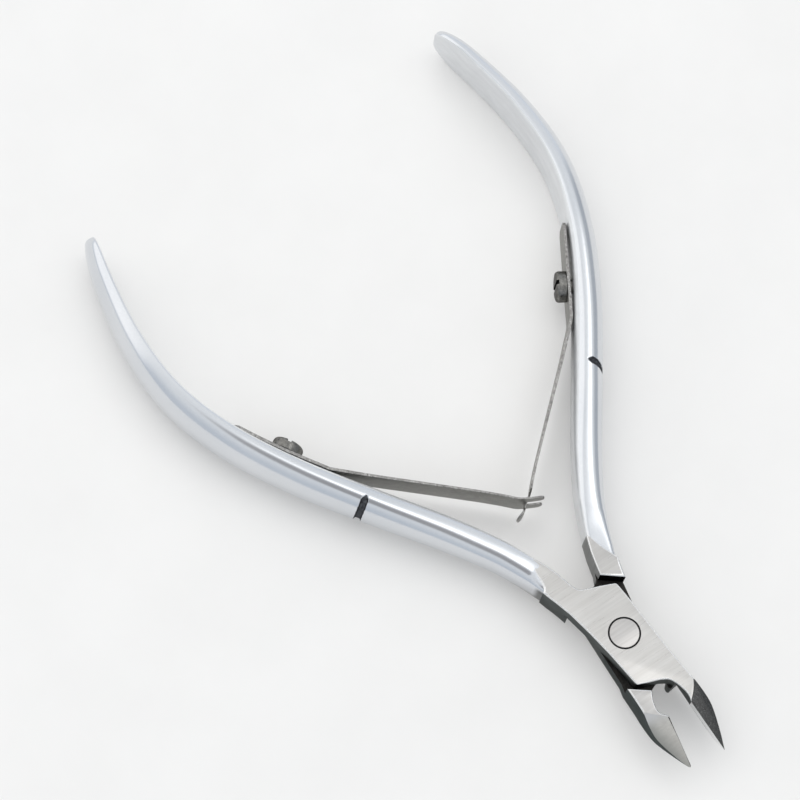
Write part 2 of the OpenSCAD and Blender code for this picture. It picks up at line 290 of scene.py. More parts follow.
def fix_normals(ob):
    bm = bmesh.new()
    bm.from_mesh(ob.data)
    bmesh.ops.recalc_face_normals(bm, faces=bm.faces)
    bm.to_mesh(ob.data)
    bm.free()


def boolean(target, tool, op):
    mod = target.modifiers.new("b", "BOOLEAN")
    mod.operation = op
    mod.solver = "MANIFOLD"
    mod.object = tool
    dg = bpy.context.evaluated_depsgraph_get()
    me = bpy.data.meshes.new_from_object(target.evaluated_get(dg))
    target.modifiers.clear()
    old = target.data
    target.data = me
    bpy.data.meshes.remove(old)
    bpy.data.objects.remove(tool)


def clean(ob, dist=1e-7):
    bm = bmesh.new()
    bm.from_mesh(ob.data)
    bmesh.ops.remove_doubles(bm, verts=bm.verts, dist=dist)
    bmesh.ops.dissolve_degenerate(bm, dist=dist, edges=bm.edges)
    bmesh.ops.recalc_face_normals(bm, faces=bm.faces)
    bm.to_mesh(ob.data)
    bm.free()


def area2(p):
    return sum(p[i][0] * p[(i + 1) % len(p)][1] - p[(i + 1) % len(p)][0] * p[i][1] for i in range(len(p)))


def inset(p, d):
    """Moves each side of a counterclockwise plan outline inwards by d, one number or one for each corner."""
    n = len(p)
    out = []
    for i in range(n):
        a, b, c = np.array(p[i - 1]), np.array(p[i]), np.array(p[(i + 1) % n])
        e1, e2 = b - a, c - b
        n1 = np.array([-e1[1], e1[0]]) / np.linalg.norm(e1)
        n2 = np.array([-e2[1], e2[0]]) / np.linalg.norm(e2)
        s = n1 + n2
        k = max(0.35, 1 + float(n1 @ n2))
        out.append(tuple(b + s * (d if isinstance(d, float) else d[i]) / k))
    return out


def rounded(p, radii):
    """Rounds chosen corners of an outline: radii maps the corner's index to its radius."""
    out = []
    n = len(p)
    for i in range(n):
        if i not in radii:
            out.append(p[i])
            continue
        a, b, c = (np.array(p[j % n], float) for j in (i - 1, i, i + 1))
        u, v = (a - b), (c - b)
        lu, lv = np.linalg.norm(u), np.linalg.norm(v)
        u, v = u / lu, v / lv
        half = math.acos(max(-1, min(1, float(u @ v)))) / 2
        d = min(radii[i] / math.tan(half), 0.48 * lu, 0.48 * lv)
        r = d * math.tan(half)
        cen = b + (u + v) / np.linalg.norm(u + v) * (r / math.sin(half))
        p0, p1 = b + u * d, b + v * d
        a0 = math.atan2(*(p0 - cen)[::-1])
        a1 = math.atan2(*(p1 - cen)[::-1])
        da = (a1 - a0 + math.pi) % (2 * math.pi) - math.pi
        for k in range(7):
            t = a0 + da * k / 6
            out.append((cen[0] + r * math.cos(t), cen[1] + r * math.sin(t)))
    return out


def prism(name, plan, z0, z1, top=0.0, bottom=0.0, cap="brushed_a", side="wall", rim="edge", under=None, wide=None):
    """Closed prism over a plan outline, in mm, with quarter-round rims; wide maps a corner to a wider rim."""
    f = [1.0] * len(plan)
    for i, v in (wide or {}).items():
        f[i] = v
    if area2(plan) < 0:
        plan, f = plan[::-1], f[::-1]
    steps = [math.radians(q) for q in (90, 67.5, 45, 22.5)]
    levels = []
    if bottom:
        for q in steps:
            levels.append((inset(plan, [bottom * v * (1 - math.cos(q)) for v in f]), z0 + bottom * (1 - math.sin(q)), rim))
    levels.append((plan, z0 + bottom, side))
    if top:
        levels.append((plan, z1 - top, rim))
        for q in steps[::-1]:
            levels.append((inset(plan, [top * v * (1 - math.cos(q)) for v in f]), z1 - top * (1 - math.sin(q)), rim))
    else:
        levels.append((plan, z1, side))
    n = len(plan)
    verts = [(x, y, z) for pl, z, _ in levels for x, y in pl]
    faces, mats = [list(range(n))[::-1]], [IDX[under or cap]]
    for L in range(len(levels) - 1):
        for i in range(n):
            j = (i + 1) % n
            faces.append([L * n + i, L * n + j, (L + 1) * n + j, (L + 1) * n + i])
            mats.append(IDX[levels[L][2]])
    faces.append([(len(levels) - 1) * n + i for i in range(n)])
    mats.append(IDX[cap])
    return new_object(name, verts, faces, mats)


def slab(name, origin, x_dir, n_dir, mat, size=60.0, depth=30.0):
    """A large block whose one face lies on a plane; the block is on the side n_dir points to."""
    o, x, n = Vector(origin), Vector(x_dir).normalized(), Vector(n_dir).normalized()
    x = (x - n * x.dot(n)).normalized()
    y = n.cross(x)
    vs = []
    for k in (0, depth):
        for a, b in ((-1, -1), (1, -1), (1, 1), (-1, 1)):
            vs.append(o + x * a * size + y * b * size + n * k)
    fs = [(0, 3, 2, 1), (4, 5, 6, 7), (0, 1, 5, 4), (1, 2, 6, 5), (2, 3, 7, 6), (3, 0, 4, 7)]
    ob = new_object(name, vs, fs, [IDX[mat]] * 6)
    fix_normals(ob)
    return ob


def tube(name, centre, axis, r, half, mat, seg=96):
    """A solid round bar through centre along axis."""
    c, n = Vector(centre), Vector(axis).normalized()
    u = n.orthogonal().normalized()
    w = n.cross(u)
    vs = []
    for k in (-half, half):
        for i in range(seg):
            a = 2 * math.pi * i / seg
            vs.append(c + n * k + u * (r * math.cos(a)) + w * (r * math.sin(a)))
    fs = [tuple(range(seg))[::-1], tuple(range(seg, 2 * seg))]
    fs += [(i, (i + 1) % seg, seg + (i + 1) % seg, seg + i) for i in range(seg)]
    ob = new_object(name, vs, fs, [IDX[mat]] * len(fs))
    fix_normals(ob)
    return ob


def lathe(name, prof, mats, seg=96):
    """Solid of revolution about Z; prof is (r, z) from the axis at the bottom to the axis at the top."""
    vs, fs, ms = [], [], []
    ring = []
    for r, z in prof:
        if r < 1e-9:
            ring.append([len(vs)])
            vs.append((0, 0, z))
        else:
            ring.append(list(range(len(vs), len(vs) + seg)))
            vs += [(r * math.cos(2 * math.pi * i / seg), r * math.sin(2 * math.pi * i / seg), z) for i in range(seg)]
    for k in range(len(prof) - 1):
        a, b = ring[k], ring[k + 1]
        for i in range(seg):
            j = (i + 1) % seg
            if len(a) == 1:
                fs.append((a[0], b[j], b[i]))
            elif len(b) == 1:
                fs.append((a[i], a[j], b[0]))
            else:
                fs.append((a[i], a[j], b[j], b[i]))
            ms.append(IDX[mats[k]])
    ob = new_object(name, vs, fs, ms)
    fix_normals(ob)
    return ob


def placed(ob, lower):
    """From a half's own arrangement, in mm, to its place in the open tool, in metres."""
    mat = Matrix.Rotation(math.radians(OPEN / 2), 4, "Z")
    if lower:
        turn = Matrix.Translation((0, 0, T)) @ Matrix.Rotation(math.pi, 4, "X")
        mat = Matrix.Rotation(math.radians(-OPEN / 2), 4, "Z") @ turn
    full = Matrix.Scale(MM, 4) @ mat
    if ob is not None:
        ob.data.transform(full)
    return full


def finish_mesh(ob, angle=26, dist=2e-7):
    clean(ob, dist)
    flat = {IDX[k] for k in ("brushed_a", "brushed_b", "lap", "gap", "land")}
    me = ob.data
    me.polygons.foreach_set("use_smooth", [p.material_index not in flat for p in me.polygons])
    me.set_sharp_from_angle(angle=math.radians(angle))


# ---------------------------------------------------------------- handle

LINE = np.array([
    [-9.2, -1.02, 2.90, 2.36, 0.92], [-11.5, -1.32, 3.15, 2.37, 0.90], [-14.2, -1.90, 3.35, 2.47, 0.80],
    [-17.0, -2.70, 3.55, 2.64, 0.68], [-20.0, -3.75, 3.75, 2.78, 0.60], [-26.0, -6.50, 4.00, 3.02, 0.50],
    [-35.0, -11.40, 4.05, 3.36, 0.46], [-44.0, -16.25, 3.90, 3.70, 0.60], [-53.0, -20.10, 3.55, 3.98, 0.78],
    [-62.0, -22.00, 3.20, 4.07, 0.90], [-71.0, -21.30, 2.80, 4.02, 0.92], [-80.0, -18.90, 2.30, 3.85, 0.92],
    [-85.6, -16.75, 1.90, 3.70, 0.92]])
LAST = len(LINE) - 1
END_ROUND = 4.4
MARK_T = 6.1


def at(t):
    i = min(LAST - 1, int(math.floor(t)))
    u = t - i
    a, b, c, d = (LINE[max(0, min(LAST, k))] for k in (i - 1, i, i + 1, i + 2))
    return 0.5 * (2 * b + (c - a) * u + (2 * a - 5 * b + 4 * c - d) * u * u + (3 * b - a - 3 * c + d) * u ** 3)


def out_dir(t):
    a, b = at(max(0, t - 0.02)), at(min(LAST, t + 0.02))
    d = (b - a)[:2]
    d = d / np.linalg.norm(d)
    return np.array([-d[1], d[0]])


def section(dep, hw, flat, rn=ROUND, low=ROUND):
    """Closed section loop (offset outwards, height, angle label), finer than the solid's."""
    hf, om = hw * flat, dep * (0.10 + 0.45 * (1 - flat))
    pts = []
    for k in range(-32, 33):
        a = math.radians(90 * k / 32)
        c, s = abs(math.cos(a)), math.sin(a)
        q = 2 / (rn if s >= 0 else low)
        pts.append((om + (dep - om) * c ** q, hw * abs(s) ** q * (1 if s >= 0 else -1), 90 * k / 32))
    for k in range(1, 9):
        a = math.radians(90 * k / 8)
        pts.append((om * (1 - math.sin(a)), hf + (hw - hf) * math.cos(a), 90 + 90 * k / 8))
    for k in range(1, 12):
        pts.append((0.0, hf * (1 - 2 * k / 12), 180))
    for k in range(8, 0, -1):
        a = math.radians(90 * k / 8)
        pts.append((om * (1 - math.sin(a)), -hf - (hw - hf) * math.cos(a), -90 - 90 * k / 8))
    return pts


def roundness(t):
    """Roundness of the outer side: nearly square at the root, an ellipse further along."""
    return float(np.interp(t, [0, 1.2, 1.55, 1.95, 2.3, 3.2, 4.4, 5.5, 6.6, 12], [6.0, 5.6, 4.2, 2.75, 2.6, 2.5, 2.4, 2.15, 2.0, 2.0]))


def roundness_below(t):
    return float(np.interp(t, [0, 1.2, 2.0, 3.0, 4.4, 6.0, 12], [8.0, 7.0, 5.0, 3.2, 2.6, 2.3, 2.2]))


def end_f(x):
    d = max(0.0, min(1.0, (x - LINE[-1][0]) / END_ROUND))
    return math.sqrt(max(0.0, 1 - (1 - d) ** 2))


def handle(name, satin, mark_t, slant, up):
    # arc length table
    fine = np.linspace(0, LAST, 1201)
    xy = np.array([at(t)[:2] for t in fine])
    s = np.concatenate([[0], np.cumsum(np.linalg.norm(np.diff(xy, axis=0), axis=1))])
    s_mark = float(np.interp(mark_t, fine, s))
    total = s[-1]
    stations = list(np.arange(0, 8, 0.25)) + list(np.arange(8, total - 5.0, 0.55))
    stations += list(total - 5.0 * (1 - np.linspace(0, 1, 34)) ** 1.9)
    stations = [q for q in stations if abs(q - s_mark) > 2.25] + list(s_mark + np.linspace(-2.2, 2.2, 75))
    stations = sorted(stations)
    verts, faces, mats = [], [], []
    rings = []
    for q in stations:
        t = float(np.interp(q, s, fine))
        r, n, e = at(t), out_dir(t), end_f(at(t)[0])
        sec = section(r[2] * (0.55 + 0.45 * e), r[3] * (0.30 + 0.70 * e), r[4], roundness(t), roundness_below(t))
        ring = []
        for o, z, a in sec:
            dq = q - s_mark - slant * (max(-0.3, up * math.sin(math.radians(a))) - 0.7)
            cut = 0.0
            if abs(a) < 84 and abs(dq) < 1.0:
                w = 0.50 * min(1.0, (84 - abs(a)) / 14) ** 0.5
                if abs(dq) < w:
                    cut = 0.40 * (1 - (abs(dq) / w) ** 4.0) * min(1.0, (84 - abs(a)) / 12)
            oo = o + r[2] * 0.16 * (1 - e)
            if cut:
                c = np.array([oo - r[2] * 0.45, z])
                c = c / np.linalg.norm(c)
                oo, z = oo - c[0] * cut, z - c[1] * cut
            ring.append((r[0] + n[0] * oo, r[1] + n[1] * oo, MID + z, a, cut))
        rings.append(ring)
    m = len(rings[0])
    for ring in rings:
        verts += [p[:3] for p in ring]
    faces.append(list(range(m)))
    mats.append(IDX["brushed_a"])
    for i in range(len(rings) - 1):
        for j in range(m):
            k = (j + 1) % m
            faces.append([i * m + j, (i + 1) * m + j, (i + 1) * m + k, i * m + k])
            quad = (rings[i][j], rings[i][k], rings[i + 1][j], rings[i + 1][k])
            if sum(p[4] > 0.05 for p in quad) >= 2:
                mats.append(IDX["groove"])
            elif abs(rings[i][j][3]) >= 122 and abs(rings[i][k][3]) >= 122:
                mats.append(IDX["inner"])
            else:
                mats.append(IDX[satin])
    faces.append([(len(rings) - 1) * m + j for j in range(m)][::-1])
    mats.append(IDX[satin])
    ob = new_object(name, verts, faces, mats)
    fix_normals(ob)
    return ob


# ---------------------------------------------------------------- joint and jaws

def arc(c, r, x0, x1, n):
    """Points of a round notch, above its centre, from x0 to x1."""
    return [(x, c[1] + math.sqrt(max(0.0, r * r - (x - c[0]) ** 2))) for x in np.linspace(x0, x1, n)]


def curve_through(p, n):
    """Smooth curve through given points."""
    p = [np.array(q, float) for q in p]
    out = []
    for i in range(len(p) - 1):
        a, b, c, d = p[max(0, i - 1)], p[i], p[i + 1], p[min(len(p) - 1, i + 2)]
        for k in range(n):
            u = k / n
            out.append(tuple(0.5 * (2 * b + (c - a) * u + (2 * a - 5 * b + 4 * c - d) * u * u + (3 * b - a - 3 * c + d) * u ** 3)))
    out.append(tuple(p[-1]))
    return out


EDGE_GAP = 0.03


def half(name, top_lap, corner, notch, low_notch, satin, brushed):
    # outline of the jaw's outer side, from the shoulder to the tip
    outer = curve_through([(8.2, (2.78 + corner) / 2), (10.2, 2.79), (12.0, 2.79), (13.6, 2.64), (15.0, 2.17),
                           (16.4, 1.55), (17.8, 0.87), (18.8, 0.33), (19.4, EDGE_GAP)], 5)
    heel = notch[0][1]
    nose = [(7.52, -0.55), (7.15, -1.25), (6.6, -2.4), (6.05, -3.38)]
    near = [(0.8, -3.32), (-2.8, -3.42), (-6.4, -3.66)]
    root_in = [(-11.5, -1.27), (-10.2, -1.09), (-9.2, -0.97)]
    if top_lap:
        c = -10.75
        root_out = [(-7.2, -3.80), (-8.6, -4.02), (-9.5, -4.21)]
        back = curve_through([(c, -4.40), (c - 0.14, -4.12), (c - 0.5, -3.86), (-12.0, -3.66), (-13.0, -3.42), (-14.0, -3.2),
                              (-14.8, -3.0), (-15.2, -2.7)], 3)
        root_in = [(-14.8, -2.16), (-13.0, -1.57)] + root_in
    else:
        c = -9.6
        root_out = [(-7.2, -3.80), (-8.6, -4.02)]
        back = curve_through([(-9.4, -4.12), (-9.6, -3.92), (-10.2, -3.62), (-11.2, -3.05), (-12.3, -2.55), (-13.4, -2.2)], 3)
        root_in = [(-13.6, -1.72)] + root_in
    lap_end = [(-8.0, -0.60), (-7.3, 0.65), (-6.7, 1.85), (-5.6, 3.74)]
    far = [(-2.9, 3.62), (1.3, 3.3), (5.4, 2.97)]
    curve = curve_through(notch, 4)
    full = root_in + lap_end + far + [(6.6, corner)] + outer + curve + nose + near + root_out + back
    k = full.index((-8.0, -0.60))
    m = full.index(nose[-1])
    full = rounded(full, {k: 0.8, k + 3: 0.4, m: 0.25})
    root = root_in + [(-8.2, -0.86), (-6.5, -3.72)] + root_out + back
    jaw = [(6.6, corner)] + outer + curve_through(low_notch, 4) + [(8.1, 0.46), (7.3, 1.88)]

    def lens(plan):
        """A wider rim where the ground face meets the round of the handle."""
        w = {}
        for i, (x, y) in enumerate(plan):
            if top_lap:
                if -12.6 < x < -10.6 and y < -3.5:
                    w[i] = 1.6
            elif x < -9.0 and y < -1.9:
                w[i] = 1.0
            elif y < -3.6 and x < -6.4:
                w[i] = 1.9
        return w

    flip = not top_lap        # the arrangement is built with the lap on top, then turned over
    body = prism("full", full, MID + 0.03, T, top=0.17, bottom=0.0, cap=brushed, under="lap", side="wall", wide=lens(full))
    r = prism("root", root, 0.0, MID + 0.03, bottom=0.17, cap="lap", under=brushed, side="wall", wide=lens(root))
    j = prism("jaw", jaw, 0.0, MID + 0.03, bottom=0.17, cap="lap", under=brushed, side="wall")
    # painted shade: shoulder walls facing along x take the near-black gap material
    for piece, x0, x1 in ((r, -8.3, -6.4), (j, 6.5, 8.2)):
        for p in piece.data.polygons:
            m = p.center
            if p.material_index == IDX["wall"] and x0 < m.x < x1 and abs(p.normal.z) < 0.1 and abs(p.normal.x) > 0.5:
                p.material_index = IDX["gap"]
    for piece in (body, r):
        for p in piece.data.polygons:
            if p.material_index == IDX["wall"] and p.center.x < -8.6 and p.center.y > -2.0:
                p.material_index = IDX["side"]
    # painted shade: half B's jaw walls take wall_b, the darker painted shade
    if not top_lap:
        for piece in (body, j):
            for p in piece.data.polygons:
                if p.material_index == IDX["wall"] and p.center.x > 1.0:
                    p.material_index = IDX["wall_b"]
    boolean(body, r, "UNION")
    boolean(body, j, "UNION")

    # end facets, above and below
    slope = math.radians(23.6)
    a = Vector((10.2, 2.78, 0)); b = Vector((12.2, 0.0, 0))
    along = (b - a).normalized()
    down = Vector((-along.y, along.x, 0))
    if down.x < 0:
        down = -down
    mid_pt = (a + b) / 2
    for sgn in (1, -1):
        z = T if sgn > 0 else 0.0
        n = Vector((down.x * math.sin(slope), down.y * math.sin(slope), sgn * math.cos(slope)))
        fall = Vector((down.x * math.cos(slope), down.y * math.cos(slope), -sgn * math.sin(slope)))
        o = Vector((mid_pt.x, mid_pt.y, z))
        if top_lap:
            # crowned: keep what is inside a large round bar that points at the tip
            R = 7.2
            axis = (Vector((19.4, 0.25, MID)) - o).normalized()
            nn = (n - axis * n.dot(axis)).normalized()
            cut = slab("cut", o - nn * 1.0, along, nn, "facet_dark", 40, 12)
            bar = tube("bar", o - nn * (R - 0.075), axis, R, 60, "facet_dark", 256)
            boolean(cut, bar, "DIFFERENCE")
            lim = slab("lim", (8.8, 0, 0), (0, 1, 0), (-1, 0, 0), "facet_dark", 60, 60)
            boolean(cut, lim, "DIFFERENCE")
        else:
            # hollow ground: a wheel lying across the fall
            R, chord = 22.0, 6.4
            cen = o + fall * (chord / 2) + n * math.sqrt(R * R - (chord / 2) ** 2)
            cut = tube("cut", cen, along, R, 14, "facet_warm", 512)
        boolean(body, cut, "DIFFERENCE")

    # relief behind the edges, leaving a narrow land; both cutting edges are on the side that ends up on top
    drop = MID / (19.4 - 12.2)
    side = -1.0 if flip else 1.0
    z_top = 0.0 if flip else T
    edge_dir = Vector((1, 0, -side * drop)).normalized()
    und = math.radians(19)
    land = 1.5 if top_lap else 0.8
    slant = (heel - EDGE_GAP) / (19.4 - 12.2)
    edge_dir = Vector((1, -slant, -side * drop)).normalized()
    n = Vector((0, -math.cos(und), -side * math.sin(und)))
    n = (n - edge_dir * n.dot(edge_dir)).normalized()
    # the relief face takes the dark wall material: painted shade
    cut = slab("rel", (12.2, heel, z_top - side * land), edge_dir, n, "wall" if top_lap else "wall_b", 60, 30)
    lim = slab("lim", (9.0, 0, 0), (0, 1, 0), (-1, 0, 0), "wall", 90, 60)
    boolean(cut, lim, "DIFFERENCE")
    boolean(body, cut, "DIFFERENCE")

    # hairline honed bevel along the cutting edge of the lower half
    if not top_lap:
        n = Vector((0, -0.80, side * 0.60))
        n = (n - edge_dir * n.dot(edge_dir)).normalized()
        cut = slab("hone", Vector((12.2, heel, z_top)) - n * 0.22, edge_dir, n, "hone", 60, 20)
        lim = slab("lim", (12.15, 0, 0), (0, 1, 0), (-1, 0, 0), "hone", 90, 60)
        boolean(cut, lim, "DIFFERENCE")
        boolean(body, cut, "DIFFERENCE")

    # land faces: the plane of the cutting edge; on the upper half they take the land material's painted highlight
    for p in body.data.polygons:
        if p.normal.y < -0.995 and p.center.x > 12.2 and abs(p.center.y - EDGE_GAP) < 0.45:
            p.material_index = IDX["land" if top_lap else "inner"]

    # bores; their walls take the bore material's painted shade
    if top_lap:
        boolean(body, tube("b", (0, 0, MID), (0, 0, 1), 1.55, 5, "bore"), "DIFFERENCE")
        cb = lathe("cb", [(0, T - 1.24), (2.11, T - 1.24), (2.10, T - 0.05), (2.27, T + 0.12), (2.30, T + 1), (0, T + 1)],
                   ["bore", "bore", "bore", "bore", "bore"], 128)
        boolean(body, cb, "DIFFERENCE")
    else:
        boolean(body, tube("b", (0, 0, MID), (0, 0, 1), 1.51, 5, "bore"), "DIFFERENCE")

    h = handle("handle", satin, MARK_T if top_lap else MARK_T - 0.09, -0.25 if top_lap else 1.6, 1 if top_lap else -1)
    boolean(body, h, "UNION")

    # screw hole
    c0, c1 = Vector((-53.7, -19.72, MID)), Vector((-41.5, -14.28, MID))
    u = (c1 - c0).normalized()
    w = Vector((-u.y, u.x, 0))
    s = 7.4 if top_lap else 8.6
    boolean(body, tube("hole", c0 + u * s - w * 1.25, w, 1.01, 1.75, "bore", 48), "DIFFERENCE")

    me = body.data
    placed(body, flip)
    body.name = name
    me.name = name
    finish_mesh(body, 28, 2e-7)
    return body


NOTCH_A = [(12.2, 0.40), (11.62, 0.67), (10.9, 0.80), (10.22, 0.77), (9.5, 0.69), (8.93, 0.55), (8.4, 0.36), (8.0, 0.08)]
LOW_A = [(12.2, 0.40), (11.62, 0.67), (10.9, 0.80), (10.22, 0.75), (9.7, 0.60), (9.2, 0.36), (8.75, 0.12), (8.3, 0.24)]
NOTCH_B = [(12.2, EDGE_GAP), (11.95, 0.10), (11.65, 0.45), (11.33, 0.80), (10.9, 0.99), (10.45, 1.02), (9.62, 0.93), (8.9, 0.72), (8.3, 0.46)]
half_a = half("half_a_body", True, 2.93, NOTCH_A, LOW_A, "satin_a", "brushed_a")
half_b = half("half_b_body", False, 3.12, NOTCH_B[:-1] + [(8.2, 0.43)], NOTCH_B, "satin_b", "brushed_b")
for ob, node, body in ((half_a, "half_a", "half_a"), (half_b, "half_b", "half_b")):
    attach(ob, body)
    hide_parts(node)

# ---------------------------------------------------------------- rivet

# the rivet's shank and head rim take the bore material: painted shade in the counterbore
riv = lathe("pivot_rivet_body", [(0, 0.0), (1.42, 0.0), (1.5, 0.08), (1.5, T - 1.2), (2.03, T - 1.2), (2.03, T - 0.08),
                                 (1.96, T - 0.015), (1.90, T), (0, T)],
            ["rivet", "rivet", "bore", "bore", "bore", "bore", "bore", "rivet"], 128)
riv.data.transform(Matrix.Scale(MM, 4))
riv.data.polygons.foreach_set("use_smooth", [True] * len(riv.data.polygons))
riv.data.set_sharp_from_angle(angle=math.radians(26))
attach(riv, "half_b")
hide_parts("pivot_rivet")

# ---------------------------------------------------------------- springs

C0, C1 = (-53.7, -19.72), (-41.5, -14.28)
LEAF_W, LEAF_T, LEAF_TIP = 4.4, 0.42, 0.26
LEAF_LINE = [(-41.2, -14.40), (-38.9, -12.5), (-36.65, -10.6), (-33.4, -7.75), (-30.15, -4.9), (-26.2, -1.45),
             (-24.2, 0.22), (-23.1, 1.08), (-22.4, 1.62), (-21.9, 2.12), (-21.35, 2.86)]
FORK_END = [(-20.82, 3.66), (-20.3, 4.52), (-20.1, 4.84), (-19.9, 5.2)]
TONGUE_END = [(-20.82, 3.24), (-20.34, 3.72), (-20.0, 4.42), (-19.72, 5.25)]


def spring(name, sag, end, outline, hole_s, lower, nodes):
    n = 8
    d = np.array(C1) - np.array(C0)
    clen = float(np.linalg.norm(d))
    u = d / clen
    w = np.array([-u[1], u[0]])
    clamp = []
    for k in range(n + 1):
        q = k / n * clen
        clamp.append(tuple(np.array(C0) + u * q + w * (-LEAF_T / 2 - sag * math.sin(math.pi * q / clen))))
    first = len(clamp) - 1
    pts = clamp[:-1] + [(-41.47, -14.50)] + [(-40.9, -14.17)] + LEAF_LINE[1:] + end
    path = np.array(curve_through(pts, 12))
    seg = np.linalg.norm(np.diff(path, axis=0), axis=1)
    arc_s = np.concatenate([[0], np.cumsum(seg)])
    i_cross = (len(pts) - 1 - len(end)) * 12
    s0 = arc_s[i_cross]
    tang = np.gradient(path, axis=0)
    tang /= np.linalg.norm(tang, axis=1)[:, None]

    def place(v):
        q = min(max(v[0] + s0, 0), arc_s[-1])
        x = np.interp(q, arc_s, path[:, 0]); y = np.interp(q, arc_s, path[:, 1])
        tx = np.interp(q, arc_s, tang[:, 0]); ty = np.interp(q, arc_s, tang[:, 1])
        extra = v[0] + s0 - q
        l = math.hypot(tx, ty)
        tx, ty = tx / l, ty / l
        h = v[2] * (1 + (LEAF_TIP / LEAF_T - 1) * max(0.0, min(1.0, (q - clen) / (s0 - clen))))
        return (x + tx * extra - ty * h, y + ty * extra + tx * h, MID + v[1])

    plan = [(max(p[0], -s0), p[1]) for p in outline]
    ob = prism(name, plan, -LEAF_T / 2, LEAF_T / 2, top=0.07, bottom=0.07, cap="spring_face", side="spring_edge", rim="spring_edge")
    # the hole's wall takes the bore material's painted shade
    boolean(ob, tube("hole", (hole_s - s0, 0, 0), (0, 0, 1), 1.15, 2, "bore", 40), "DIFFERENCE")
    bm = bmesh.new()
    bm.from_mesh(ob.data)
    lo = min(v.co.x for v in bm.verts)
    hi = max(v.co.x for v in bm.verts)
    x = lo + 0.4
    while x < hi - 0.1:
        bmesh.ops.bisect_plane(bm, geom=bm.verts[:] + bm.edges[:] + bm.faces[:], dist=1e-5,
                               plane_co=(x, 0, 0), plane_no=(1, 0, 0))
        x += 0.4 if x < -4 else 0.15
    for v in bm.verts:
        v.co = place(v.co)
    bm.to_mesh(ob.data)
    bm.free()
    full = placed(ob, lower)
    finish_mesh(ob, 30, 1e-7)
    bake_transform(ob)
    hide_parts(*nodes)
    return ob


HW = LEAF_W / 2
prong = curve_through([(1.30, HW), (1.62, 2.14), (1.92, 1.92), (2.06, 1.56), (2.04, 1.20), (1.88, 0.90), (1.62, 0.75)], 3)
slot_in = [(0.10, 0.72), (-0.22, 0.66), (-0.40, 0.48), (-0.46, 0.22)]
upper = [(-30, HW), (-10, HW)] + prong + slot_in
fork_outline = [(-99, HW - 0.64)] + upper + [(x, -y) for x, y in upper[::-1]] + [(-99, -(HW - 0.64))]
neck, tw = 0.525, 1.5
t_up = [(-30, HW), (-20, HW), (-12, 2.0), (-4, 1.75), (-2.4, 1.66), (-1.9, 1.50), (-1.6, 1.15), (-1.35, 0.72), (-1.05, 0.56), (-0.7, neck),
        (0.7, neck), (0.88, 0.62), (0.98, 0.95), (1.08, 1.22), (1.3, tw), (1.85, tw), (2.15, 1.32), (2.42, 0.95), (2.56, 0.5), (2.6, 0.0)]
tongue_outline = [(-99, HW - 0.64)] + t_up + [(x, -y) for x, y in t_up[-2::-1]] + [(-99, -(HW - 0.64))]


def clip_corners(outline, length):
    """Puts the strip's own free end, with its clipped corners, on an outline that starts at x = -99."""
    out = []
    for x, y in outline:
        if x == -99:
            out.append((-length, y))
            if y > 0:
                out.append((-length + 0.64, HW))
            else:
                out.insert(len(out) - 1, (-length + 0.64, -HW))
        else:
            out.append((x, y))
    return out


def spring_s0(sag, end):
    d = np.array(C1) - np.array(C0)
    clen = float(np.linalg.norm(d)); u = d / clen; w = np.array([-u[1], u[0]])
    clamp = [tuple(np.array(C0) + u * (k / 8 * clen) + w * (-LEAF_T / 2 - sag * math.sin(math.pi * k / 8))) for k in range(9)]
    pts = clamp[:-1] + [(-41.47, -14.50)] + [(-40.9, -14.17)] + LEAF_LINE[1:] + end
    path = np.array(curve_through(pts, 12))
    arc_s = np.concatenate([[0], np.cumsum(np.linalg.norm(np.diff(path, axis=0), axis=1))])
    return float(arc_s[(len(pts) - 1 - len(end)) * 12])


fork = spring("fork_spring", 0.2, FORK_END, clip_corners(fork_outline, spring_s0(0.2, FORK_END)), 7.4, False,
              ("fork_spring_clamped_end", "fork_spring_leaf"))
tongue = spring("tongue_spring", 0.0, TONGUE_END, clip_corners(tongue_outline, spring_s0(0.0, TONGUE_END)), 8.6, True,
                ("tongue_spring_clamped_end", "tongue_spring_leaf"))

# ---------------------------------------------------------------- screws


def screw(name, s, sag, lower, body, node):
    R, H = 2.1, 1.4
    prof = [(0, -2.55), (0.85, -2.55), (1.0, -2.4), (1.0, 0), (R - 0.06, 0), (R, 0.06), (R, H - 0.50)]
    prof += [(R - 0.45 + 0.45 * math.cos(a), H - 0.50 + 0.50 * math.sin(a)) for a in np.linspace(0.15, math.pi / 2, 9)]
    prof += [(0, H)]
    ob = lathe(name, prof, ["screw"] * (len(prof) - 1), 96)
    slot = prism("slot", [(-0.3, -4), (0.3, -4), (0.3, 4), (-0.3, 4)], H - 0.36, H + 1, cap="bore", side="bore")
    boolean(ob, slot, "DIFFERENCE")
    # slot walls take the bore material: painted shade
    for p in ob.data.polygons:
        if p.center.z > H - 0.37 and p.center.z < H - 0.02 and abs(p.normal.z) < 0.1 and abs(abs(p.center.x) - 0.3) < 0.01:
            p.material_index = IDX["bore"]
    c0, c1 = Vector((C0[0], C0[1], MID)), Vector((C1[0], C1[1], MID))
    u = (c1 - c0).normalized()
    w = Vector((-u.y, u.x, 0))
    org = c0 + u * s + w * (0.01 - 0.75 * sag)
    # local z -> w, local y -> the tool's thickness
    m = Matrix(((-u.x, 0, w.x, org.x), (-u.y, 0, w.y, org.y), (0, 1, 0, org.z), (0, 0, 0, 1)))
    if m.to_3x3().determinant() < 0:
        m = Matrix(((u.x, 0, w.x, org.x), (u.y, 0, w.y, org.y), (0, 1, 0, org.z), (0, 0, 0, 1)))
    ob.data.transform(m)
    placed(ob, lower)
    finish_mesh(ob, 30, 1e-7)
    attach(ob, body)
    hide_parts(node)
    return ob


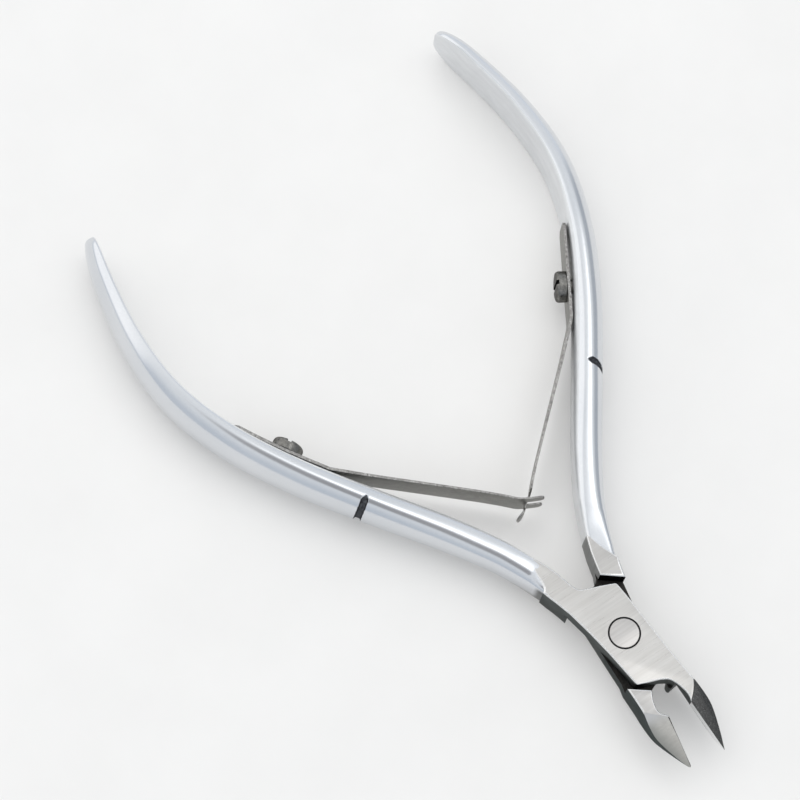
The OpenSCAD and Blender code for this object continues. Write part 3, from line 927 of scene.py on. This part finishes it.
screw("spring_screw_a_body", 7.4, 0.2, False, "half_a", "spring_screw_a")
screw("spring_screw_b_body", 8.6, 0.0, True, "half_b", "spring_screw_b")

# ---------------------------------------------------------------- stage, light, camera

def to_mat(rows, pos):
    r = Vector(rows[0]); d = Vector(rows[1]); f = Vector(rows[2])
    m = Matrix(((r.x, -d.x, -f.x, pos[0]), (r.y, -d.y, -f.y, pos[1]), (r.z, -d.z, -f.z, pos[2]), (0, 0, 0, 1)))
    return m


R0 = np.array([[0.5615, 0.8247, 0.0675], [0.7937, -0.5137, -0.3258], [-0.234, 0.2365, -0.943]])
uu, _, vv = np.linalg.svd(R0)
R0 = uu @ vv
cam = bpy.data.objects.new("camera", bpy.data.cameras.new("camera"))
bpy.context.scene.collection.objects.link(cam)
cam.matrix_world = to_mat(R0.tolist(), (0.056002, -0.105177, 0.396202 + MID * MM))
cam.data.sensor_width = 36.0
cam.data.lens = 144.0
cam.data.clip_start = 0.01
cam.data.clip_end = 20
bpy.context.scene.camera = cam

fl = new_object("floor", [(-1.5, -1.5, -0.00165), (1.5, -1.5, -0.00165), (1.5, 1.5, -0.00165), (-1.5, 1.5, -0.00165)], [(0, 1, 2, 3)])
fl.data.materials.clear()
fm = bpy.data.materials.new("floor_paint")
fm.use_nodes = True
fb = fm.node_tree.nodes["Principled BSDF"]
fb.inputs["Roughness"].default_value = 0.75
fc = ramp(fm.node_tree, noise(fm.node_tree, coords(fm.node_tree), 60, 4, 0.6), [(0.3, (0.605, 0.600, 0.590)), (0.7, (0.630, 0.625, 0.615))])
fm.node_tree.links.new(fc, fb.inputs["Base Color"])
fb.inputs["Emission Color"].default_value = (1.0, 0.99, 0.975, 1)
fb.inputs["Emission Strength"].default_value = 0.185
fl.data.materials.append(fm)

world = bpy.data.worlds.new("studio")
bpy.context.scene.world = world
world.use_nodes = True
wt = world.node_tree
bg = wt.nodes["Background"]
w_dir = wt.nodes.new("ShaderNodeTexCoord").outputs["Generated"]
w_sep = wt.nodes.new("ShaderNodeSeparateXYZ")
wt.links.new(w_dir, w_sep.inputs[0])
DX, DY, DZ = w_sep.outputs


def panel(x0, x1, y0, y1, soft):
    """Overhead soft panel, as seen from the tool."""
    f = mathn(wt, "MULTIPLY", step(wt, DX, x0 - soft, x0 + soft), step(wt, DX, x1 + soft, x1 - soft))
    g = mathn(wt, "MULTIPLY", step(wt, DY, y0 - soft, y0 + soft), step(wt, DY, y1 + soft, y1 - soft))
    return mathn(wt, "MULTIPLY", mathn(wt, "MULTIPLY", f, g), step(wt, DZ, 0.0, 0.1))


# quieter towards -Y, brighter towards +Y and -X, where the windows of the room are
low = mix(wt, step(wt, DY, -0.75, 0.75), (0.65, 0.695, 0.755), (0.84, 0.88, 0.93))
sky = mix(wt, step(wt, DZ, 0.15, 0.95), low, (0.90, 0.92, 0.94))
left = mathn(wt, "MULTIPLY", step(wt, DX, -0.27, -0.35), step(wt, DZ, 0.03, 0.25))
left = mathn(wt, "MULTIPLY", left, step(wt, DY, 0.44, 0.22))
sky = mix(wt, left, sky, (1.25, 1.25, 1.25))
right = mathn(wt, "MULTIPLY", step(wt, DX, -0.20, 0.0), step(wt, DY, 0.50, 0.75))
right = mathn(wt, "MULTIPLY", right, step(wt, DZ, 0.66, 0.42))
sky = mix(wt, right, sky, (0.50, 0.53, 0.57))
sky = mix(wt, panel(-0.04, 0.20, -0.10, 0.66, 0.025), sky, (1.9, 1.9, 1.9))
dot = wt.nodes.new("ShaderNodeVectorMath")
dot.operation = "DOT_PRODUCT"
dot.inputs[1].default_value = Vector((0.22, -0.36, 0.905)).normalized()
wt.links.new(w_dir, dot.inputs[0])
sky = mix(wt, step(wt, dot.outputs["Value"], 0.955, 0.99), sky, (0.38, 0.38, 0.39))
wt.links.new(sky, bg.inputs["Color"])
bg.inputs["Strength"].default_value = 1.0


def area(name, direction, dist, sx, sy, power, toward=(0, 0, 0), color=(1, 1, 1), up=(1, 0, 0)):
    li = bpy.data.lights.new(name, "AREA")
    li.shape = "RECTANGLE"
    li.size, li.size_y = sx, sy
    li.energy = power
    li.color = color
    ob = bpy.data.objects.new(name, li)
    bpy.context.scene.collection.objects.link(ob)
    d = Vector(direction).normalized()
    pos = Vector(toward) + d * dist
    z = d
    x = Vector(up)
    x = (x - z * x.dot(z)).normalized()
    y = z.cross(x)
    ob.matrix_world = Matrix(((x.x, y.x, z.x, pos.x), (x.y, y.y, z.y, pos.y), (x.z, y.z, z.z, pos.z), (0, 0, 0, 1)))
    return ob


key = area("key_softbox", (-0.50, 0.12, 0.85), 0.9, 0.9, 0.9, 2.6, (-0.03, 0, 0))
key.visible_glossy = False

bpy.context.scene.view_settings.view_transform = "Standard"
